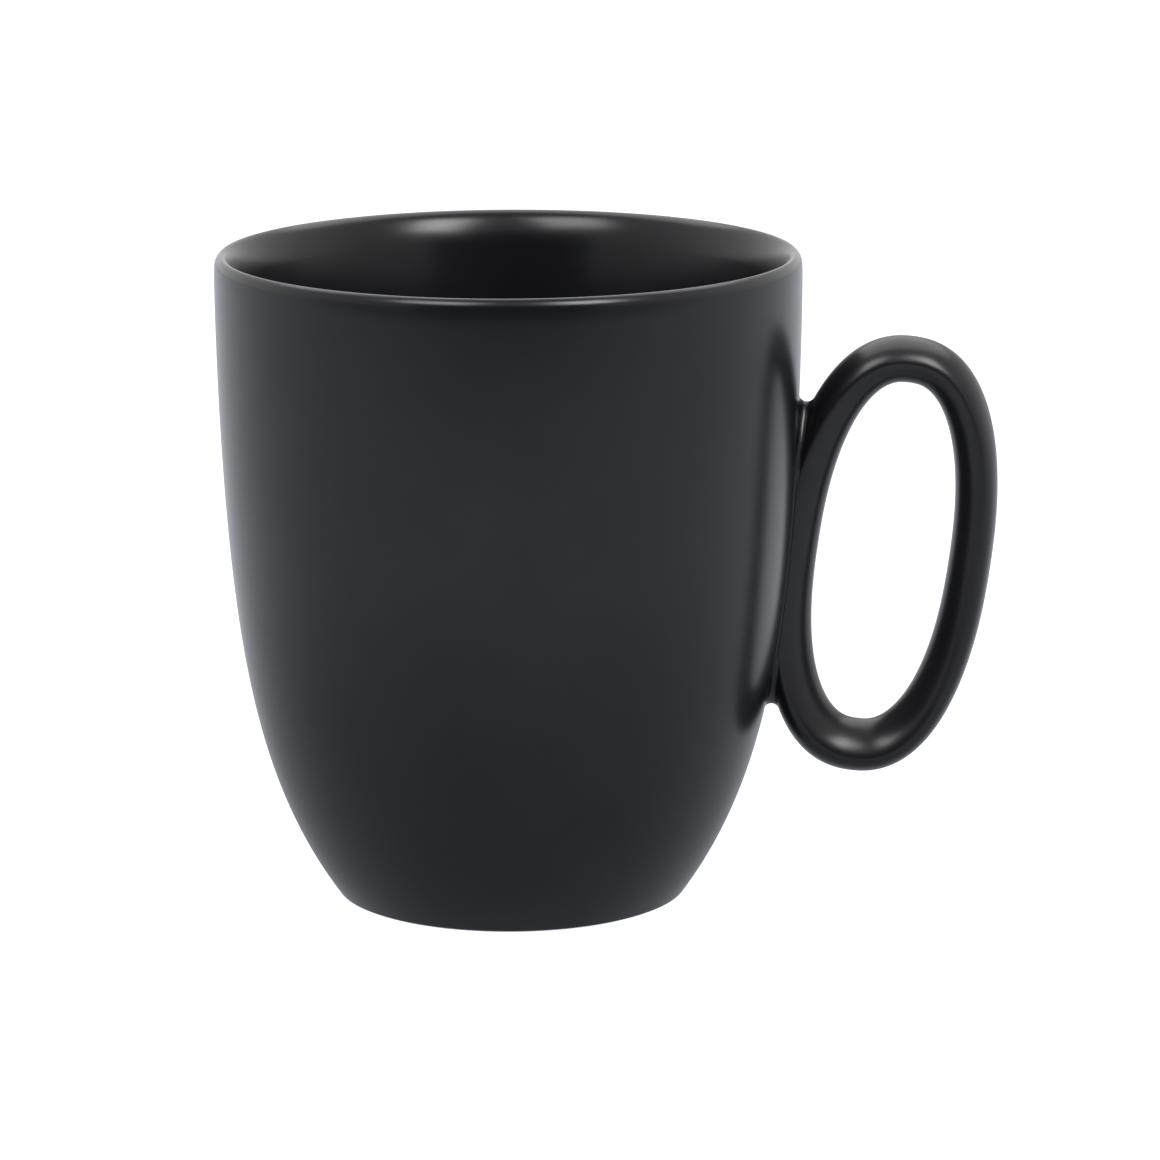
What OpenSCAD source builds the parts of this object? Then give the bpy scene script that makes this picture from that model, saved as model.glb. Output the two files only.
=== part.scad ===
// Ceramic mug: a thrown-shape cup with a closed oval ring handle luted to its wall.
// Origin at the centre of the foot on the table, +Z up, the handle on the +X side.

/* [Cup] */
// Height from the table to the top of the lip
cup_h = 97.2; // [94:0.1:110]
// Outer diameter at the lip
rim_d = 87.1; // [80:0.1:100]
// Diameter at which the line of the wall would reach the table
foot_d = 52; // [44:0.2:56]
// How far the gentle lean of the whole wall brings it in at the foot
lean_in = 7.6; // [7:0.1:10]
// How sharply the wall tucks in above the foot, higher is lower down
tuck_power = 5.6; // [5:0.1:9]
// How much the wall thickens below the lip
swell_t = 2.8; // [1.5:0.1:3]
// Height over which it thickens
swell_h = 24; // [12:1:40]

/* [Lip] */
// Thickness of the wall at the lip, before its edges are rounded
lip_t = 2.7; // [2.2:0.1:3.2]
// How far the outside eases in towards the lip
lip_ease = 0.25; // [0:0.05:0.4]
// Height over which it eases in
lip_ease_h = 3.5; // [2:0.5:8]
// Radius of the outer shoulder of the lip
lip_shoulder_r = 1.9; // [1.2:0.1:2.2]
// Radius of the tighter rounding over the lip's highest line
lip_crest_r = 0.45; // [0.3:0.05:0.8]
// Height of the soft rounding inside that line
lip_in_h = 5; // [2:0.5:7]

/* [Floor and foot] */
// Height of the inside floor above the table
floor_z = 7.2; // [6:0.1:10]
// Height of the rounded corner between the floor and the inside wall
corner_h = 17; // [10:0.5:24]
// Squareness of that corner, 2 is an ellipse
corner_power = 2.4; // [2:0.1:3]
// Depth of the recess inside the foot ring
recess_h = 1.8; // [1:0.1:3]
// Radius of the recess where the foot ring begins
recess_r = 21; // [16:0.5:22]
// Radius of the rounded outer edge of the foot
foot_edge_r = 1.3; // [0.8:0.1:1.8]
// Radius of the rounded inner edges of the foot ring
foot_fillet_r = 0.8; // [0.4:0.1:0.9]

/* [Handle ring] */
// How far the ring's centre stands beyond the radius of the lip
ring_reach = 12.2; // [12:0.1:13]
// Height of the ring's centre
ring_z = 51.5; // [48:0.5:54]
// Half the length of the line through the middle of the ring's band
ring_long = 29.7; // [27:0.1:32]
// Half the width of that line
ring_short = 13.2; // [12.8:0.1:13.5]
// Squareness of the oval, 2 is an ellipse
ring_power = 2.3; // [2:0.1:2.6]
// Lean of the ring, its top away from the cup
ring_lean = 8; // [5:0.5:10]
// Thickness of the band on the side away from the cup
grip_t = 6.3; // [5.6:0.1:7]
// Thickness of the band against the cup, before it is cut to the wall
root_t = 7; // [6.4:0.1:7.6]
// How much thicker the band is at the top of the ring
top_extra_t = 0.35; // [0:0.05:0.8]
// How much thicker it is at the bottom
bottom_extra_t = 1.25; // [0:0.05:1.6]
// Depth of the band across the handle, half way up
band_depth = 9.6; // [8:0.1:11]
// How much deeper the band is at the bottom than half way up
bottom_extra_depth = 1; // [0:0.1:2]
// Share of the thickness that lies inside the widest line, on average
inner_share = 0.57; // [0.5:0.01:0.6]
// How much of a soft ridge the upward side of the band has, 0 is an ellipse
ridge = 0.32; // [0:0.01:0.4]

/* [Luting slip] */
// Thickness of the slip between the wall and the handle
slip_t = 0.4; // [0.3:0.05:0.6]
// How far the slip shows round the handle as a bead
slip_bead = 0.6; // [0.4:0.1:1]
// Half the width of the handle's footprint on the wall
seat_half_w = 5; // [4.6:0.1:5.4]
// Lowest point of the footprint
seat_low_z = 30; // [28:0.5:31]
// Highest point of the footprint
seat_high_z = 72; // [71:0.5:74]

/* [Colour] */
// Colour of the fired black glaze
glaze_colour = "#2b2d31"; // ["#2b2d31":Black, "#4a3b32":Brown, "#d9d5cc":White]
// Colour of the slip at the joint
slip_colour = "#202226"; // ["#202226":Black, "#3a2e27":Brown, "#bdb8ae":Grey]

/* [Hidden] */
tuck_in = rim_d / 2 - lean_in - foot_d / 2;
inside_top_z = cup_h - lip_in_h;
round_steps = 8;
crest_steps = 5;
wall_steps = 40;
inside_steps = 24;
corner_steps = 16;
turn_facets = 180;
ring_stations = 84;
band_sides = 20;
ring_x = rim_d / 2 + ring_reach;
grip_share = 0.07;
root_share = 0.2;
end_share = 0.075;
lip_break = 50;
lip_start = 5;

// Radius of the outside wall at height z
function wall_r(z) =
    let (s = (cup_h - z) / cup_h)
    rim_d / 2 - lean_in * pow(s, 2) - tuck_in * pow(s, tuck_power);

// How fast that radius grows with height
function wall_slope(z) =
    let (s = (cup_h - z) / cup_h)
    (2 * lean_in * s + tuck_power * tuck_in * pow(s, tuck_power - 1)) / cup_h;

// Radius of the outside, which eases in a little towards the lip
function outside_r(z) = wall_r(z) - lip_ease * pow(max(1 - (cup_h - z) / lip_ease_h, 0), 2);

// How much the wall has thickened at height z, on its way down from the lip
function swell(z) = swell_t * (1 - pow(max(1 - (cup_h - z) / swell_h, 0), 2));

// Radius of the inside wall at height z, the lip and the corner at the floor left out
function inside_r(z) = wall_r(z) - lip_t - swell(z);

// Points of an arc about a centre
function arc(centre, r, from, to, steps) =
    [for (i = [0:steps]) let (a = from + (to - from) * i / steps) centre + r * [cos(a), sin(a)]];

// The foot's outer edge is an arc that meets the table and the wall at a tangent
foot_edge_turn = 90 - atan(wall_slope(foot_edge_r / 2));
foot_edge_z = foot_edge_r * (1 - cos(foot_edge_turn));
foot_edge_x = wall_r(foot_edge_z) - foot_edge_r * sin(foot_edge_turn);

// Centres of the lip's shoulder and of the tighter rounding that goes on from it over the highest line
lip_between = lip_shoulder_r - lip_crest_r;
shoulder_z = cup_h - lip_crest_r - lip_between * sin(lip_break);
wall_top_z = shoulder_z + lip_shoulder_r * sin(lip_start);
shoulder_x = outside_r(wall_top_z) - lip_shoulder_r * cos(lip_start);
crest_x = shoulder_x + lip_between * cos(lip_break);

function underside() = concat(
    [[0, recess_h]],
    arc([recess_r - foot_fillet_r, recess_h - foot_fillet_r], foot_fillet_r, 90, 0, round_steps),
    arc([recess_r + foot_fillet_r, foot_fillet_r], foot_fillet_r, 180, 270, round_steps)
);

function foot_edge() =
    arc([foot_edge_x, foot_edge_r], foot_edge_r, -90, foot_edge_turn - 90, round_steps);

function outside_wall() =
    [for (i = [1:wall_steps - 1]) let (z = foot_edge_z + (wall_top_z - foot_edge_z) * i / wall_steps)
        [outside_r(z), z]];

// The shoulder, the rounding over the highest line, and the softer rounding inside it
function lip() = concat(
    arc([shoulder_x, shoulder_z], lip_shoulder_r, lip_start, lip_break, round_steps),
    [for (i = [1:crest_steps])
        let (a = lip_break + (90 - lip_break) * i / crest_steps)
        [crest_x + lip_crest_r * cos(a), cup_h - lip_crest_r + lip_crest_r * sin(a)]],
    [for (i = [round_steps - 1:-1:0])
        let (a = 90 * i / round_steps)
        let (z = inside_top_z + lip_in_h * sin(a))
        [inside_r(z) + (crest_x - inside_r(cup_h)) * (1 - cos(a)), z]]
);

function inside_wall() =
    let (low = floor_z + corner_h)
    [for (i = [1:inside_steps]) let (z = inside_top_z + (low - inside_top_z) * i / inside_steps)
        [inside_r(z), z]];

function inside_corner() =
    [for (i = [1:corner_steps])
        let (a = 90 - 90 * i / corner_steps)
        let (z = floor_z + corner_h * (1 - pow(cos(a), 2 / corner_power)))
        [inside_r(z) * pow(sin(a), 2 / corner_power), z]];

module cup_body() {
    color(glaze_colour)
        rotate_extrude($fn = turn_facets)
            polygon(concat(underside(), foot_edge(), outside_wall(), lip(), inside_wall(),
                inside_corner()));
}

// A power that keeps the sign
function signed_pow(v, p) = sign(v) * pow(abs(v), p);

// The ring's own axes, turned by its lean, as places in the X-Z plane
function lean(u, v) = [u * cos(ring_lean) + v * sin(ring_lean), v * cos(ring_lean) - u * sin(ring_lean)];

// Middle of the band at an angle round the ring, 0 away from the cup and 90 at the top
function band_middle(a) =
    [ring_x, ring_z] + lean(ring_short * signed_pow(cos(a), 2 / ring_power),
        ring_long * signed_pow(sin(a), 2 / ring_power));

// Direction straight out of the ring at that angle
function band_out(a) =
    let (p = 2 - 2 / ring_power)
    let (n = lean(signed_pow(cos(a), p) / ring_short, signed_pow(sin(a), p) / ring_long))
    n / norm(n);

function band_t(a) =
    (grip_t + root_t + (grip_t - root_t) * cos(a)) / 2
        + (sin(a) > 0 ? top_extra_t : bottom_extra_t) * pow(sin(a), 4);

function band_half_depth(a) = (band_depth - bottom_extra_depth * sin(a)) / 2;

// The inside takes a larger share of the band at the grip, at the root and at the bottom
function band_inner_share(a) =
    inner_share + (cos(a) > 0 ? grip_share : root_share) * pow(cos(a), 2) - end_share * sin(a);

// Nearest that the handle may come to the axis of the cup
function seat_x(y, z) = sqrt(pow(wall_r(z) + slip_t, 2) - y * y);

// One point of the band's section, cut back to the seat on the wall.
// The section is two half ovals that meet on its widest line, and the one that looks up is ridged there.
function band_point(a, b) =
    let (t = band_t(a))
    let (share = band_inner_share(a))
    let (half = cos(b) > 0 ? 1 - share : share)
    let (power = 1 + ridge * max(sin(a) * sign(cos(b)), 0))
    let (m = band_middle(a) + t * (share - 0.5 + half * signed_pow(cos(b), power)) * band_out(a))
    let (y = band_half_depth(a) * signed_pow(sin(b), power))
    [max(m[0], seat_x(y, m[1])), y, m[1]];

module handle() {
    points = [for (i = [0:ring_stations - 1], j = [0:band_sides - 1])
        band_point(360 * i / ring_stations, 360 * j / band_sides)];
    function at(i, j) = (i % ring_stations) * band_sides + j % band_sides;
    faces = [for (i = [0:ring_stations - 1], j = [0:band_sides - 1], half = [0, 1])
        half == 0 ? [at(i, j), at(i + 1, j + 1), at(i, j + 1)]
            : [at(i, j), at(i + 1, j), at(i + 1, j + 1)]];
    color(glaze_colour)
        polyhedron(points, faces);
}

// Outline of the slip on the wall, seen along the X axis
module slip_outline() {
    r = seat_half_w + slip_bead;
    low = seat_low_z - slip_bead + r;
    high = seat_high_z + slip_bead - r;
    translate([0, low])
        circle(r);
    translate([0, high])
        circle(r);
    translate([-r, low])
        square([2 * r, high - low]);
}

module handle_slip() {
    low = seat_low_z - 2 * slip_bead;
    high = seat_high_z + 2 * slip_bead;
    levels = [for (i = [0:wall_steps]) low + (high - low) * i / wall_steps];
    skin = concat([for (z = levels) [wall_r(z), z]],
        [for (i = [wall_steps:-1:0]) [wall_r(levels[i]) + slip_t, levels[i]]]);
    color(slip_colour)
        intersection() {
            rotate_extrude($fn = turn_facets)
                polygon(skin);
            rotate([90, 0, 90])
                linear_extrude(height = rim_d)
                    slip_outline($fn = 64);
        }
}

cup_body();
handle();
handle_slip();
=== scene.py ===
"""Looks of the ceramic mug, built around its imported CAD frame.

Shapes are worked out in millimetres with the names and formulas of the CAD source, and become metres
where a mesh is made. +Z is up and the handle is on the +X side.
"""

import math

import bmesh
import bpy
import numpy as np
from mathutils import Matrix, Vector


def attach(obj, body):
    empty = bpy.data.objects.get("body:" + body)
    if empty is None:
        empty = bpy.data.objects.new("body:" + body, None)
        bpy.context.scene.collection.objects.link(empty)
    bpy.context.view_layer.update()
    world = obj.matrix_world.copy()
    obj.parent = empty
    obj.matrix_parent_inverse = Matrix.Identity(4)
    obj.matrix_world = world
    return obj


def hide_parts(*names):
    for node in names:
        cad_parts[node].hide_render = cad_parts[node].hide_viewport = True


MM = 0.001
COLLECTION = bpy.context.scene.collection

# The cup, in millimetres and degrees
CUP_H = 97.2
RIM_R = 43.55
FOOT_R = 26
LEAN_IN = 7.6
TUCK_IN = RIM_R - LEAN_IN - FOOT_R
TUCK_POWER = 5.6
LIP_EASE = 0.25
LIP_EASE_H = 3.5
LIP_CREST_R = 0.45
LIP_SHOULDER_R = 1.9
LIP_BREAK = 50
LIP_START = 5
LIP_T = 2.7
LIP_IN_H = 5
SWELL_T = 2.8
SWELL_H = 24
FLOOR_Z = 7.2
CORNER_H = 17
CORNER_POWER = 2.4
RECESS_H = 1.8
RECESS_R = 21
FOOT_EDGE_R = 1.3
FOOT_FILLET_R = 0.8
CUP_TURNS = 256

# Where the glaze stops on the foot's two rounded edges, and the mesh rows there that are glazed or bare
GLAZE_T = 0.14
GLAZE_EDGE_SHARE = 0.12
INNER_GLAZE_END = 214
OUTER_GLAZE_END = -52
INNER_GLAZE_ROWS = 10
OUTER_CLAY_ROWS = 16

# The handle ring
RING_X = RIM_R + 12.2
RING_Z = 51.5
RING_LONG = 29.7
RING_SHORT = 13.2
RING_POWER = 2.3
RING_LEAN = math.radians(8)
GRIP_T = 6.3
ROOT_T = 7
TOP_EXTRA_T = 0.35
BOTTOM_EXTRA_T = 1.25
BAND_DEPTH = 9.6
BOTTOM_EXTRA_DEPTH = 1
INNER_SHARE = 0.57
GRIP_SHARE = 0.07
ROOT_SHARE = 0.2
END_SHARE = 0.075
RIDGE = 0.32
BAND_STATIONS = 240
BAND_SIDES = 72
CREASE_ANGLE = 24

# The slip between them, and the seat that it gives the handle
SLIP_T = 0.4
SEAT_MIDDLE_Z = 51
SEAT_HALF_W = 5
SEAT_HALF_H = 22
CUTTER_LOW_Z = 22
CUTTER_HIGH_Z = 82
CUTTER_TURNS = 360
SIDE_FILLET_R = 0.55
END_FILLET_R = 1.2
BEAD = 0.35
END_POWER = 6
SLIP_COUNT = 256
SLIP_STEPS = 10
MERGE_GAP = 0.004
SLIP_CREASE_ANGLE = 40

# The glaze
GLAZE_IOR = 1.36

# The studio, in metres and degrees
AIM = Vector((0, 0, 0.05))
CAMERA_PLACE = (0.01046, -0.75565, 0.21553)
CAMERA_TILT = 77.457
CAMERA_ROLL = -0.164
LENS = 160.1
TABLE_HALF = 6
WHITE_LEVEL = 1.05
GLOW_Z = 0.0004
# The reflected table's glow is dimmed near the mug's foot as a painted shadow of the mug.
PAINTED_SHADOW_GLOW = 0.49
FAR_GLOW = 1.02
GLOW_SPREAD = (0.03, 0.2)
TABLE_EDGE = (-0.56, -0.44)
FLAG_HALF_W = 1
FLAG_Y = -1.4
FLAG_H = 0.95


def smooth(t):
    """From 0 to 1, level at both ends."""
    t = min(max(t, 0.0), 1.0)
    return t * t * (3 - 2 * t)


# ---------------------------------------------------------------- meshes


def mesh_object(name, points, faces):
    """A smooth mesh object from points in millimetres."""
    mesh = bpy.data.meshes.new(name)
    mesh.from_pydata([Vector(p) * MM for p in points], [], faces)
    mesh.shade_smooth()
    obj = bpy.data.objects.new(name, mesh)
    COLLECTION.objects.link(obj)
    return obj


def revolve(profile, turns):
    """Points and faces of a profile (radius, height) turned about Z. Its two ends lie on the axis."""
    points = [(0, 0, profile[0][1])]
    for radius, z in profile[1:-1]:
        for j in range(turns):
            a = 2 * math.pi * j / turns
            points.append((radius * math.cos(a), radius * math.sin(a), z))
    points.append((0, 0, profile[-1][1]))
    rows = len(profile) - 2
    last = len(points) - 1

    def at(i, j):
        return 1 + i * turns + j % turns

    faces = [(0, at(0, j + 1), at(0, j)) for j in range(turns)]
    for i in range(rows - 1):
        faces += [(at(i, j), at(i, j + 1), at(i + 1, j + 1), at(i + 1, j)) for j in range(turns)]
    faces += [(last, at(rows - 1, j), at(rows - 1, j + 1)) for j in range(turns)]
    return points, faces


# ---------------------------------------------------------------- the cup


def wall_r(z):
    s = (CUP_H - z) / CUP_H
    return RIM_R - LEAN_IN * s**2 - TUCK_IN * s**TUCK_POWER


def wall_slope(z):
    s = (CUP_H - z) / CUP_H
    return (2 * LEAN_IN * s + TUCK_POWER * TUCK_IN * s ** (TUCK_POWER - 1)) / CUP_H


def outside_r(z):
    """Radius of the outside, which eases in a little towards the lip."""
    return wall_r(z) - LIP_EASE * max(1 - (CUP_H - z) / LIP_EASE_H, 0) ** 2


def swell(z):
    """How much the wall has thickened at height z, on its way down from the lip."""
    return SWELL_T * (1 - max(1 - (CUP_H - z) / SWELL_H, 0) ** 2)


def inside_r(z):
    return wall_r(z) - LIP_T - swell(z)


def oval_arc(x, z, rx, rz, start, end, steps):
    """Points of an arc of an ellipse about (x, z), between two angles in degrees."""
    angles = [math.radians(start + (end - start) * i / steps) for i in range(steps + 1)]
    return [(x + rx * math.cos(a), z + rz * math.sin(a)) for a in angles]


def glazed_arc(x, z, r, start, end, edge, steps):
    """An arc from bare clay at start to glaze at end. The glaze stops at edge in a small rounded step."""
    points = []
    for i in range(steps + 1):
        turn = start + (end - start) * i / steps
        bare = (turn - start) / (edge - start)
        if bare < 1:
            back = GLAZE_T * smooth(bare)
        else:
            over = min((turn - edge) / (GLAZE_EDGE_SHARE * (end - start)), 1)
            back = GLAZE_T * (1 - math.sqrt(over * (2 - over)))
        a = math.radians(turn)
        points.append((x + (r - back) * math.cos(a), z + (r - back) * math.sin(a)))
    return points


def inner_glazed_arc(x, z, r, start, end, edge, steps):
    """The same from glaze to bare clay."""
    return glazed_arc(x, z, r, end, start, edge, steps)[::-1]


def foot_profile():
    """From the middle of the underside to the start of the wall, its bare clay rows and its last height."""
    turn = math.pi / 2 - math.atan(wall_slope(FOOT_EDGE_R / 2))
    edge_z = FOOT_EDGE_R * (1 - math.cos(turn))
    edge_x = wall_r(edge_z) - FOOT_EDGE_R * math.sin(turn)
    outer_end = math.degrees(turn) - 90
    x0 = RECESS_R - FOOT_FILLET_R
    x1 = RECESS_R + FOOT_FILLET_R
    underside = [(x0 * i / 12, RECESS_H) for i in range(12)]
    underside += oval_arc(x0, RECESS_H - FOOT_FILLET_R, FOOT_FILLET_R, FOOT_FILLET_R, 90, 0, 10)
    inner_edge = inner_glazed_arc(x1, FOOT_FILLET_R, FOOT_FILLET_R, 180, 270, INNER_GLAZE_END, 30)
    stand = [(x1 + (edge_x - x1) * i / 6, 0) for i in range(1, 6)]
    outer_edge = glazed_arc(edge_x, FOOT_EDGE_R, FOOT_EDGE_R, -90, outer_end, OUTER_GLAZE_END, 40)
    before = underside + inner_edge + stand
    bare = range(len(underside) + INNER_GLAZE_ROWS, len(before) + OUTER_CLAY_ROWS)
    return before + outer_edge, bare, edge_z


def lip_profile(shoulder_x, shoulder_z, crest_x, crest_z):
    """Over the lip, from the end of the outside wall to the start of the inside one."""
    points = oval_arc(shoulder_x, shoulder_z, LIP_SHOULDER_R, LIP_SHOULDER_R, LIP_START, LIP_BREAK, 24)
    points += oval_arc(crest_x, crest_z, LIP_CREST_R, LIP_CREST_R, LIP_BREAK, 90, 12)[1:]
    return points + [inner_lip_point(crest_x, math.pi / 2 * (1 - i / 34)) for i in range(1, 35)]


def inside_profile():
    """Down the inside wall and round its corner to the middle of the floor."""
    high = CUP_H - LIP_IN_H
    span = FLOOR_Z + CORNER_H - high
    wall = [(inside_r(z), z) for z in (high + span * i / 90 for i in range(1, 91))]
    corner = [corner_point(math.pi / 2 * (1 - i / 48)) for i in range(1, 48)]
    floor = [(corner[-1][0] * (1 - i / 8), FLOOR_Z) for i in range(1, 9)]
    return wall + corner + floor


def cup_profile():
    """The profile from the middle of the underside to the middle of the floor, and its bare clay rows."""
    foot, bare, low = foot_profile()
    shoulder_x, shoulder_z, crest_x, crest_z = lip_centres()
    high = shoulder_z + LIP_SHOULDER_R * math.sin(math.radians(LIP_START))
    wall = [(outside_r(z), z) for z in (low + (high - low) * i / 160 for i in range(1, 160))]
    lip = lip_profile(shoulder_x, shoulder_z, crest_x, crest_z)
    return foot + wall + lip + inside_profile(), bare


def lip_centres():
    """Centres of the shoulder's arc and of the tighter arc over the lip's highest line."""
    turn = math.radians(LIP_BREAK)
    between = LIP_SHOULDER_R - LIP_CREST_R
    shoulder_z = CUP_H - LIP_CREST_R - between * math.sin(turn)
    start = math.radians(LIP_START)
    shoulder_x = outside_r(shoulder_z + LIP_SHOULDER_R * math.sin(start)) - LIP_SHOULDER_R * math.cos(start)
    return shoulder_x, shoulder_z, shoulder_x + between * math.cos(turn), CUP_H - LIP_CREST_R


def inner_lip_point(crest_x, a):
    """From the inside wall at angle 0 up to the lip's highest line."""
    z = CUP_H - LIP_IN_H * (1 - math.sin(a))
    return inside_r(z) + (crest_x - inside_r(CUP_H)) * (1 - math.cos(a)), z


def corner_point(a):
    z = FLOOR_Z + CORNER_H * (1 - math.cos(a) ** (2 / CORNER_POWER))
    return inside_r(z) * math.sin(a) ** (2 / CORNER_POWER), z


def make_cup(glaze, clay):
    """The cup, glazed all over but for the ring that it stands on."""
    profile, bare = cup_profile()
    points, faces = revolve(profile, CUP_TURNS)
    cup = mesh_object("cup", points, faces)
    cup.data.materials.append(glaze)
    cup.data.materials.append(clay)
    for face in cup.data.polygons:
        row = (face.vertices[0] - 1) // CUP_TURNS + 1
        if row in bare and len(face.vertices) == 4:
            face.material_index = 1
    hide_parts("cup_body")
    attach(cup, "root")


# ---------------------------------------------------------------- the handle


def signed_pow(v, p):
    return math.copysign(abs(v) ** p, v)


def leaned(u, v):
    """The ring's own axes, turned by its lean, as places in the X-Z plane."""
    c = math.cos(RING_LEAN)
    s = math.sin(RING_LEAN)
    return np.array([u * c + v * s, v * c - u * s])


def band_middle(a):
    u = RING_SHORT * signed_pow(math.cos(a), 2 / RING_POWER)
    v = RING_LONG * signed_pow(math.sin(a), 2 / RING_POWER)
    return np.array([RING_X, RING_Z]) + leaned(u, v)


def band_out(a):
    p = 2 - 2 / RING_POWER
    n = leaned(signed_pow(math.cos(a), p) / RING_SHORT, signed_pow(math.sin(a), p) / RING_LONG)
    return n / np.linalg.norm(n)


def band_point(a, b):
    """A point of the band before it is cut to the wall: a goes round the ring and b round its section."""
    c = math.cos(a)
    s = math.sin(a)
    extra = TOP_EXTRA_T if s > 0 else BOTTOM_EXTRA_T
    t = (GRIP_T + ROOT_T + (GRIP_T - ROOT_T) * c) / 2 + extra * s**4
    side_share = GRIP_SHARE if c > 0 else ROOT_SHARE
    share = INNER_SHARE + side_share * c * c - END_SHARE * s
    half = 1 - share if math.cos(b) > 0 else share
    power = 1 + RIDGE * max(math.copysign(s, s * math.cos(b)), 0)
    m = band_middle(a) + t * (share - 0.5 + half * signed_pow(math.cos(b), power)) * band_out(a)
    depth = BAND_DEPTH - BOTTOM_EXTRA_DEPTH * s
    return np.array([m[0], depth / 2 * signed_pow(math.sin(b), power), m[1]])


def band_normal(a, b):
    """The direction out of the band's surface."""
    h = 1e-4
    along = band_point(a + h, b) - band_point(a - h, b)
    round_it = band_point(a, b + h) - band_point(a, b - h)
    n = np.cross(round_it, along)
    return n / np.linalg.norm(n)


def make_band():
    """The closed ring, before it is cut to the wall."""
    points = []
    for i in range(BAND_STATIONS):
        a = 2 * math.pi * (i + 0.5) / BAND_STATIONS
        points += [band_point(a, 2 * math.pi * (j + 0.5) / BAND_SIDES) for j in range(BAND_SIDES)]

    def at(i, j):
        return (i % BAND_STATIONS) * BAND_SIDES + j % BAND_SIDES

    faces = [
        (at(i, j), at(i, j + 1), at(i + 1, j + 1), at(i + 1, j))
        for i in range(BAND_STATIONS)
        for j in range(BAND_SIDES)
    ]
    return mesh_object("handle_ring", points, faces)


def make_seat_cutter():
    """The cup's outside with the slip's thickness on it, between heights beyond the handle's joint."""
    profile = [(wall_r(z) + SLIP_T, z) for z in range(CUTTER_LOW_Z, CUTTER_HIGH_Z + 1)]
    profile = [(0, CUTTER_LOW_Z)] + profile + [(0, CUTTER_HIGH_Z)]
    points, faces = revolve(profile, CUTTER_TURNS)
    return mesh_object("seat_cutter", points, faces)


def cut(obj, cutter):
    """obj loses what it shares with cutter, which goes away."""
    modifier = obj.modifiers.new("cut", "BOOLEAN")
    modifier.operation = "DIFFERENCE"
    modifier.solver = "EXACT"
    modifier.object = cutter
    graph = bpy.context.evaluated_depsgraph_get()
    mesh = bpy.data.meshes.new_from_object(obj.evaluated_get(graph))
    obj.modifiers.clear()
    obj.data = mesh
    mesh.name = obj.name
    bpy.data.objects.remove(cutter)


def sharpen(obj, degrees):
    """Edges that turn more than this are creases, and the rest is smooth."""
    mesh = obj.data
    work = bmesh.new()
    work.from_mesh(mesh)
    limit = math.radians(degrees)
    for edge in work.edges:
        edge.smooth = edge.calc_face_angle(0) < limit
    for face in work.faces:
        face.smooth = True
    work.to_mesh(mesh)
    work.free()


def make_handle(glaze):
    """The ring, cut to the seat that the slip gives it."""
    handle = make_band()
    cut(handle, make_seat_cutter())
    sharpen(handle, CREASE_ANGLE)
    handle.data.materials.clear()
    handle.data.materials.append(glaze)
    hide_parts("handle")
    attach(handle, "root")


# ---------------------------------------------------------------- the slip


def wall_gap(p):
    """Distance from p to the cup's wall, and the wall's direction there."""
    radius = math.hypot(p[0], p[1])
    z = p[2]
    for _ in range(6):
        slope = wall_slope(z)
        out = (radius - wall_r(z)) / (1 + slope * slope)
        z = p[2] + slope * out
    cosine = 1 / math.sqrt(1 + slope * slope)
    normal = np.array([p[0] / radius * cosine, p[1] / radius * cosine, -slope * cosine])
    return (radius - wall_r(z)) * cosine + (p[2] - z) * -slope * cosine, normal


def on_wall(y, z, height):
    """The point over the wall at that height above it, facing the handle."""
    radius = wall_r(z) + height
    return np.array([math.sqrt(radius * radius - y * y), y, z])


def touch(a, b, r, height):
    """How far a ball of radius r on the band is from lying on the wall too, and its middle."""
    p = band_point(a, b)
    middle = p + r * band_normal(a, b) if r > 0 else p
    gap, _ = wall_gap(middle)
    return gap - r - height, middle


def misses(a, b, turn, r, height):
    """How far the ball is from the wall, and its middle from the direction turn round the joint."""
    gap, middle = touch(a, b, r, height)
    across = math.cos(turn) * middle[1] / SEAT_HALF_W
    return np.array([gap, across - math.sin(turn) * (middle[2] - SEAT_MIDDLE_Z) / SEAT_HALF_H])


def footprint(turn, r, height, guess):
    """The (a, b) where a ball of radius r rests on the band and on the wall, in the direction turn."""
    a, b = guess
    h = 1e-5
    for _ in range(30):
        now = misses(a, b, turn, r, height)
        if abs(now[0]) < 1e-7 and abs(now[1]) < 1e-8:
            break
        by_a = (misses(a + h, b, turn, r, height) - now) / h
        by_b = (misses(a, b + h, turn, r, height) - now) / h
        step = np.linalg.solve(np.array([by_a, by_b]).T, -now)
        step *= min(1, 0.15 / max(abs(step)))
        a += step[0]
        b += step[1]
    return a, b


def at_end(turn):
    """0 along the sides of the joint, and 1 at its two ends."""
    return abs(math.cos(turn)) ** END_POWER


def fillet_r(turn):
    """The fillet is small along the sides of the joint and larger at its ends."""
    return SIDE_FILLET_R + (END_FILLET_R - SIDE_FILLET_R) * at_end(turn)


def footprints(radius, height):
    """The (a, b) of each footprint round the joint, starting from the middle of the +Y side."""
    found = [None] * SLIP_COUNT
    for way in (1, -1):
        guess = (math.pi, math.pi / 2 + 0.35)
        for k in range(SLIP_COUNT // 2 + 1):
            i = (SLIP_COUNT // 4 + way * k) % SLIP_COUNT
            turn = 2 * math.pi * i / SLIP_COUNT
            if way == -1 and k == 0:
                guess = found[i]
                continue
            guess = footprint(turn, radius(turn), height, guess)
            if found[i] is None:
                found[i] = guess
    return found


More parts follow.
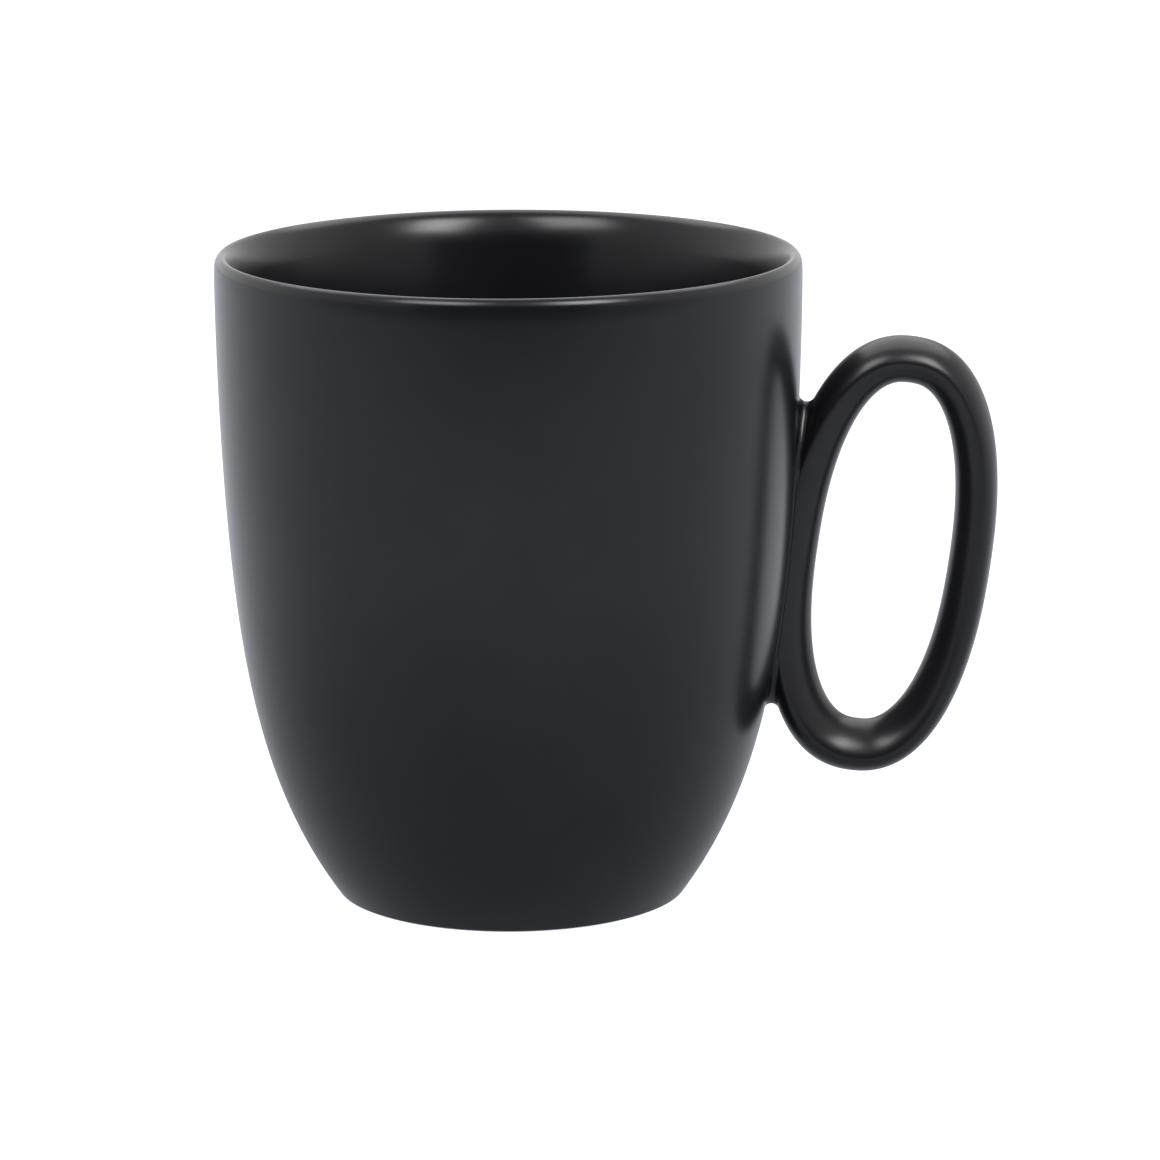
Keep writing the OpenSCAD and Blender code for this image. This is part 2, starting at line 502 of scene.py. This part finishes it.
def bead_arc(a, b, turn):
    """Points from the wall to the band over the slip's edge, where the ball at (a, b) shapes it."""
    r = fillet_r(turn)
    bead = BEAD * (1 - at_end(turn))
    n = band_normal(a, b)
    middle = band_point(a, b) + r * n
    _, wall_n = wall_gap(middle)
    angle = math.acos(min(1, float(n @ wall_n)))
    points = []
    for k in range(SLIP_STEPS + 1):
        t = k / SLIP_STEPS
        away = (math.sin((1 - t) * angle) * wall_n + math.sin(t * angle) * n) / math.sin(angle)
        points.append(middle - r * (1 - bead * math.sin(math.pi * t)) * away)
    return points


def slip_rings():
    """Loops of points over the slip: out along the wall, over its edge, and in under the handle."""
    ball = footprints(fillet_r, 0)
    arcs = [bead_arc(*ball[i], 2 * math.pi * i / SLIP_COUNT) for i in range(SLIP_COUNT)]
    edge = [list(loop) for loop in zip(*arcs)]
    seat = [band_point(*place) for place in footprints(lambda turn: 0, SLIP_T)]
    under = [patch_loop(edge[0], k / 5, 0) for k in range(5)]
    over = [patch_loop(seat, k / 5, SLIP_T) for k in (4, 3, 2, 1, 0)]
    return under + edge + [seat] + over


def make_slip(glaze):
    """A thin layer under the handle, squeezed out into a bead at its sides and a fillet at its ends."""
    rings = slip_rings()
    points = [tuple(p) for ring in rings for p in ring]

    def at(k, i):
        return k * SLIP_COUNT + i % SLIP_COUNT

    faces = [
        (at(k, i), at(k, i + 1), at(k + 1, i + 1), at(k + 1, i))
        for k in range(len(rings) - 1)
        for i in range(SLIP_COUNT)
    ]
    slip = mesh_object("slip", points, faces)
    tidy_mesh(slip, MERGE_GAP)
    sharpen(slip, SLIP_CREASE_ANGLE)
    slip.data.materials.append(glaze)
    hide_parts("handle_slip")
    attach(slip, "root")


def patch_loop(loop, t, height):
    """A loop drawn in towards the line down the joint's middle, laid over the wall."""
    low = min(p[2] for p in loop)
    high = max(p[2] for p in loop)
    half = max(abs(p[1]) for p in loop)
    drawn = []
    for p in loop:
        spine = min(max(p[2], low + half), high - half)
        drawn.append(on_wall(p[1] * t, spine + (p[2] - spine) * t, height))
    return drawn


def tidy_mesh(obj, gap):
    """Points closer than gap millimetres become one, and the faces look outwards."""
    work = bmesh.new()
    work.from_mesh(obj.data)
    bmesh.ops.remove_doubles(work, verts=work.verts, dist=gap * MM)
    bmesh.ops.recalc_face_normals(work, faces=work.faces)
    work.to_mesh(obj.data)
    work.free()


# ---------------------------------------------------------------- materials


class Nodes:
    """Short calls to build a node tree, whose patterns lie at one kind of coordinates."""

    def __init__(self, tree, coordinates):
        self.tree = tree
        self.place = self.add("ShaderNodeTexCoord").outputs[coordinates]

    def add(self, kind):
        return self.tree.nodes.new(kind)

    def link(self, out, socket):
        self.tree.links.new(out, socket)

    def noise(self, scale, detail, rough):
        node = self.add("ShaderNodeTexNoise")
        self.link(self.place, node.inputs["Vector"])
        node.inputs["Scale"].default_value = scale
        node.inputs["Detail"].default_value = detail
        node.inputs["Roughness"].default_value = rough
        return node.outputs["Fac"]

    def ramp(self, factor, stops):
        node = self.add("ShaderNodeValToRGB")
        self.link(factor, node.inputs["Fac"])
        ends = node.color_ramp.elements
        ends[0].position, ends[0].color = stops[0][0], (*stops[0][1], 1)
        ends[1].position, ends[1].color = stops[-1][0], (*stops[-1][1], 1)
        for position, colour in stops[1:-1]:
            ends.new(position).color = (*colour, 1)
        return node.outputs["Color"]

    def spread(self, value, low, high, start=0, end=1, curve="LINEAR"):
        """value from start to end becomes low to high."""
        node = self.add("ShaderNodeMapRange")
        node.interpolation_type = curve
        self.link(value, node.inputs["Value"])
        node.inputs["From Min"].default_value = start
        node.inputs["From Max"].default_value = end
        node.inputs["To Min"].default_value = low
        node.inputs["To Max"].default_value = high
        return node.outputs["Result"]

    def bump(self, height, distance, before=None):
        node = self.add("ShaderNodeBump")
        self.link(height, node.inputs["Height"])
        node.inputs["Strength"].default_value = 1
        node.inputs["Distance"].default_value = distance
        if before is not None:
            self.link(before, node.inputs["Normal"])
        return node.outputs["Normal"]

    def axes(self):
        node = self.add("ShaderNodeSeparateXYZ")
        self.link(self.place, node.inputs["Vector"])
        return node.outputs

    def product(self, a, b):
        node = self.add("ShaderNodeMath")
        node.operation = "MULTIPLY"
        self.link(a, node.inputs[0])
        self.link(b, node.inputs[1])
        return node.outputs["Value"]


def new_material(name):
    """A material and its shader."""
    material = bpy.data.materials.new(name)
    material.use_nodes = True
    return material, material.node_tree.nodes["Principled BSDF"]


def black_glaze(name, dark, light, rough_low, rough_high):
    """A satin black glaze: faint clouds of colour and gloss, a slow swell, and a fine matt grain."""
    material, shader = new_material(name)
    n = Nodes(material.node_tree, "Object")
    clouds = n.noise(scale=70, detail=4, rough=0.55)
    gloss = n.noise(scale=160, detail=3, rough=0.5)
    swell = n.bump(n.noise(scale=45, detail=1, rough=0.4), 0.00004)
    grain = n.bump(n.noise(scale=2600, detail=2, rough=0.5), 0.0000012, swell)
    shader.inputs["IOR"].default_value = GLAZE_IOR
    n.link(n.ramp(clouds, [(0.3, dark), (0.7, light)]), shader.inputs["Base Color"])
    n.link(n.spread(gloss, rough_low, rough_high), shader.inputs["Roughness"])
    n.link(grain, shader.inputs["Normal"])
    return material


def bare_clay():
    """Fired clay with a fine sandy grain."""
    material, shader = new_material("bare_clay")
    n = Nodes(material.node_tree, "Object")
    sands = [(0.3, (0.36, 0.33, 0.29)), (0.5, (0.5, 0.46, 0.41)), (0.7, (0.58, 0.54, 0.48))]
    specks = n.noise(scale=900, detail=5, rough=0.7)
    dust = n.noise(scale=1500, detail=3, rough=0.6)
    grain = n.bump(n.noise(scale=3200, detail=4, rough=0.7), 0.00003)
    n.link(n.ramp(specks, sands), shader.inputs["Base Color"])
    n.link(n.spread(dust, 0.8, 0.92), shader.inputs["Roughness"])
    n.link(grain, shader.inputs["Normal"])
    return material


def sheen_free(name, grey, roughness):
    """A grey stage material without reflections, and its shader."""
    material, shader = new_material(name)
    shader.inputs["Base Color"].default_value = (grey, grey, grey, 1)
    shader.inputs["Roughness"].default_value = roughness
    shader.inputs["Specular IOR Level"].default_value = 0
    return material, shader


def lit_table():
    """A white table lit from below, so that it hardly takes a shadow."""
    material, shader = sheen_free("lit_table", 0.12, 0.9)
    shader.inputs["Emission Color"].default_value = (0.93, 0.96, 1.08, 1)
    shader.inputs["Emission Strength"].default_value = WHITE_LEVEL
    return material


def table_glow():
    """The table as the glaze sees it: dimmer round the mug's foot, as a painted shadow of the mug, and dark
    beyond its front edge.
    """
    material, shader = sheen_free("table_glow", 0.01, 0.5)
    n = Nodes(material.node_tree, "Object")
    away = n.add("ShaderNodeVectorMath")
    away.operation = "LENGTH"
    n.link(n.place, away.inputs[0])
    # Dimmer near the mug's foot: a painted shadow of the mug on the table, seen only in the glaze's
    # reflections.
    glow = n.spread(away.outputs["Value"], PAINTED_SHADOW_GLOW, FAR_GLOW, *GLOW_SPREAD)
    table = n.spread(n.axes()["Y"], 0, 1, *TABLE_EDGE)
    shader.inputs["Emission Color"].default_value = (0.95, 0.98, 1.06, 1)
    n.link(n.product(glow, table), shader.inputs["Emission Strength"])
    return material


# ---------------------------------------------------------------- studio


def plane(name, corners, material):
    mesh = bpy.data.meshes.new(name)
    mesh.from_pydata(corners, [], [(0, 1, 2, 3)])
    obj = bpy.data.objects.new(name, mesh)
    COLLECTION.objects.link(obj)
    obj.data.materials.append(material)
    return obj


def level_corners(half, z):
    """Corners of a level square about the Z axis."""
    return [(-half, -half, z), (half, -half, z), (half, half, z), (-half, half, z)]


def flag(name, corners, material):
    """A sheet that only reflections see."""
    obj = plane(name, corners, material)
    obj.visible_camera = False
    obj.visible_diffuse = False
    obj.visible_shadow = False


def make_table():
    plane("floor", level_corners(TABLE_HALF, 0), lit_table())
    flag("glow", level_corners(TABLE_HALF, GLOW_Z), table_glow())
    black, _ = sheen_free("flag_black", 0.01, 1)
    low = [(-FLAG_HALF_W, FLAG_Y, 0), (FLAG_HALF_W, FLAG_Y, 0)]
    high = [(FLAG_HALF_W, FLAG_Y, FLAG_H), (-FLAG_HALF_W, FLAG_Y, FLAG_H)]
    flag("flag_back", low + high, black)


def softbox(side, shape, azimuth, elevation, distance, size, power):
    """An area light that faces the mug. Azimuth 0 is over the camera."""
    name = "softbox_" + side
    light = bpy.data.lights.new(name, "AREA")
    light.shape = shape
    light.size, light.size_y = size
    light.energy = power
    obj = bpy.data.objects.new(name, light)
    COLLECTION.objects.link(obj)
    az = math.radians(azimuth)
    el = math.radians(elevation)
    towards = Vector((math.sin(az) * math.cos(el), -math.cos(az) * math.cos(el), math.sin(el)))
    obj.location = AIM + towards * distance
    obj.rotation_euler = towards.to_track_quat("Z", "Y").to_euler()
    obj.visible_camera = False


def make_softboxes():
    softbox("right", "RECTANGLE", azimuth=36, elevation=44.8, distance=1.2, size=(0.38, 0.49), power=9.9)
    softbox("left", "RECTANGLE", azimuth=-33, elevation=49, distance=1.2, size=(0.5, 0.46), power=7.3)
    softbox("top", "ELLIPSE", azimuth=180, elevation=68, distance=1, size=(1.8, 1), power=14)


def room_strength(n):
    """What the glaze reflects of the room: brightest behind, softer at the sides, and dimmer overhead."""
    axes = n.axes()
    aside = n.add("ShaderNodeMath")
    aside.operation = "ABSOLUTE"
    n.link(axes["X"], aside.inputs[0])
    behind = n.add("ShaderNodeMath")
    behind.operation = "MULTIPLY_ADD"
    n.link(aside.outputs["Value"], behind.inputs[0])
    behind.inputs[1].default_value = 0.5
    n.link(axes["Y"], behind.inputs[2])
    level = n.spread(behind.outputs["Value"], 0.75, 1.4, -0.3, 0.8, "SMOOTHSTEP")
    overhead = n.spread(axes["Z"], 1, 0.6, 0.5, 0.95, "SMOOTHSTEP")
    return n.product(level, overhead)


def make_world():
    """White to the camera, and a soft room to the glaze."""
    world = bpy.data.worlds.new("studio")
    bpy.context.scene.world = world
    world.use_nodes = True
    world.node_tree.nodes.clear()
    n = Nodes(world.node_tree, "Generated")
    room = n.add("ShaderNodeBackground")
    seen = n.add("ShaderNodeBackground")
    for node in (room, seen):
        node.inputs["Color"].default_value = (1, 1, 1, 1)
    n.link(room_strength(n), room.inputs["Strength"])
    seen.inputs["Strength"].default_value = WHITE_LEVEL
    mix = n.add("ShaderNodeMixShader")
    n.link(n.add("ShaderNodeLightPath").outputs["Is Camera Ray"], mix.inputs["Fac"])
    n.link(room.outputs["Background"], mix.inputs[1])
    n.link(seen.outputs["Background"], mix.inputs[2])
    n.link(mix.outputs["Shader"], n.add("ShaderNodeOutputWorld").inputs["Surface"])


def make_camera():
    data = bpy.data.cameras.new("camera")
    data.sensor_width = 36
    data.lens = LENS
    data.clip_start = 0.01
    camera = bpy.data.objects.new("camera", data)
    COLLECTION.objects.link(camera)
    tilt = Matrix.Rotation(math.radians(CAMERA_TILT), 4, "X")
    roll = Matrix.Rotation(math.radians(CAMERA_ROLL), 4, "Z")
    camera.matrix_world = Matrix.Translation(CAMERA_PLACE) @ tilt @ roll
    bpy.context.scene.camera = camera


def make_studio():
    make_camera()
    make_world()
    make_table()
    make_softboxes()
    view = bpy.context.scene.view_settings
    view.view_transform = "Standard"
    view.look = "None"


# ---------------------------------------------------------------- the scene

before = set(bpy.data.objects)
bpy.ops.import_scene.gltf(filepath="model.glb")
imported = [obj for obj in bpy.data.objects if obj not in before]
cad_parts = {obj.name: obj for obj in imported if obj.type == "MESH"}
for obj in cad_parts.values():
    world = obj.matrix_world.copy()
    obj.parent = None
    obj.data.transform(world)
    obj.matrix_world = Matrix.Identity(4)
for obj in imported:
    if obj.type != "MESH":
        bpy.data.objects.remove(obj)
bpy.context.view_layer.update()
make_studio()
body_glaze = black_glaze("black_glaze", (0.0028, 0.003, 0.0037), (0.0043, 0.0046, 0.0057), 0.22, 0.27)
# The slip's glaze is a slightly darker copy of the body's glaze, as painted shade in the crease between
# handle and wall. It is also a little glossier.
joint_glaze_painted_shade = black_glaze("joint_glaze_painted_shade", (0.0025, 0.0027, 0.0034), (0.0038, 0.0041, 0.0051), 0.2, 0.26)
# The handle's glaze is a lighter copy of the body's glaze, as painted light on the handle. It is also a
# little rougher.
handle_glaze_painted_light = black_glaze("handle_glaze_painted_light", (0.0042, 0.0042, 0.005), (0.0062, 0.0062, 0.0072), 0.26, 0.31)
make_cup(body_glaze, bare_clay())
make_handle(handle_glaze_painted_light)
make_slip(joint_glaze_painted_shade)
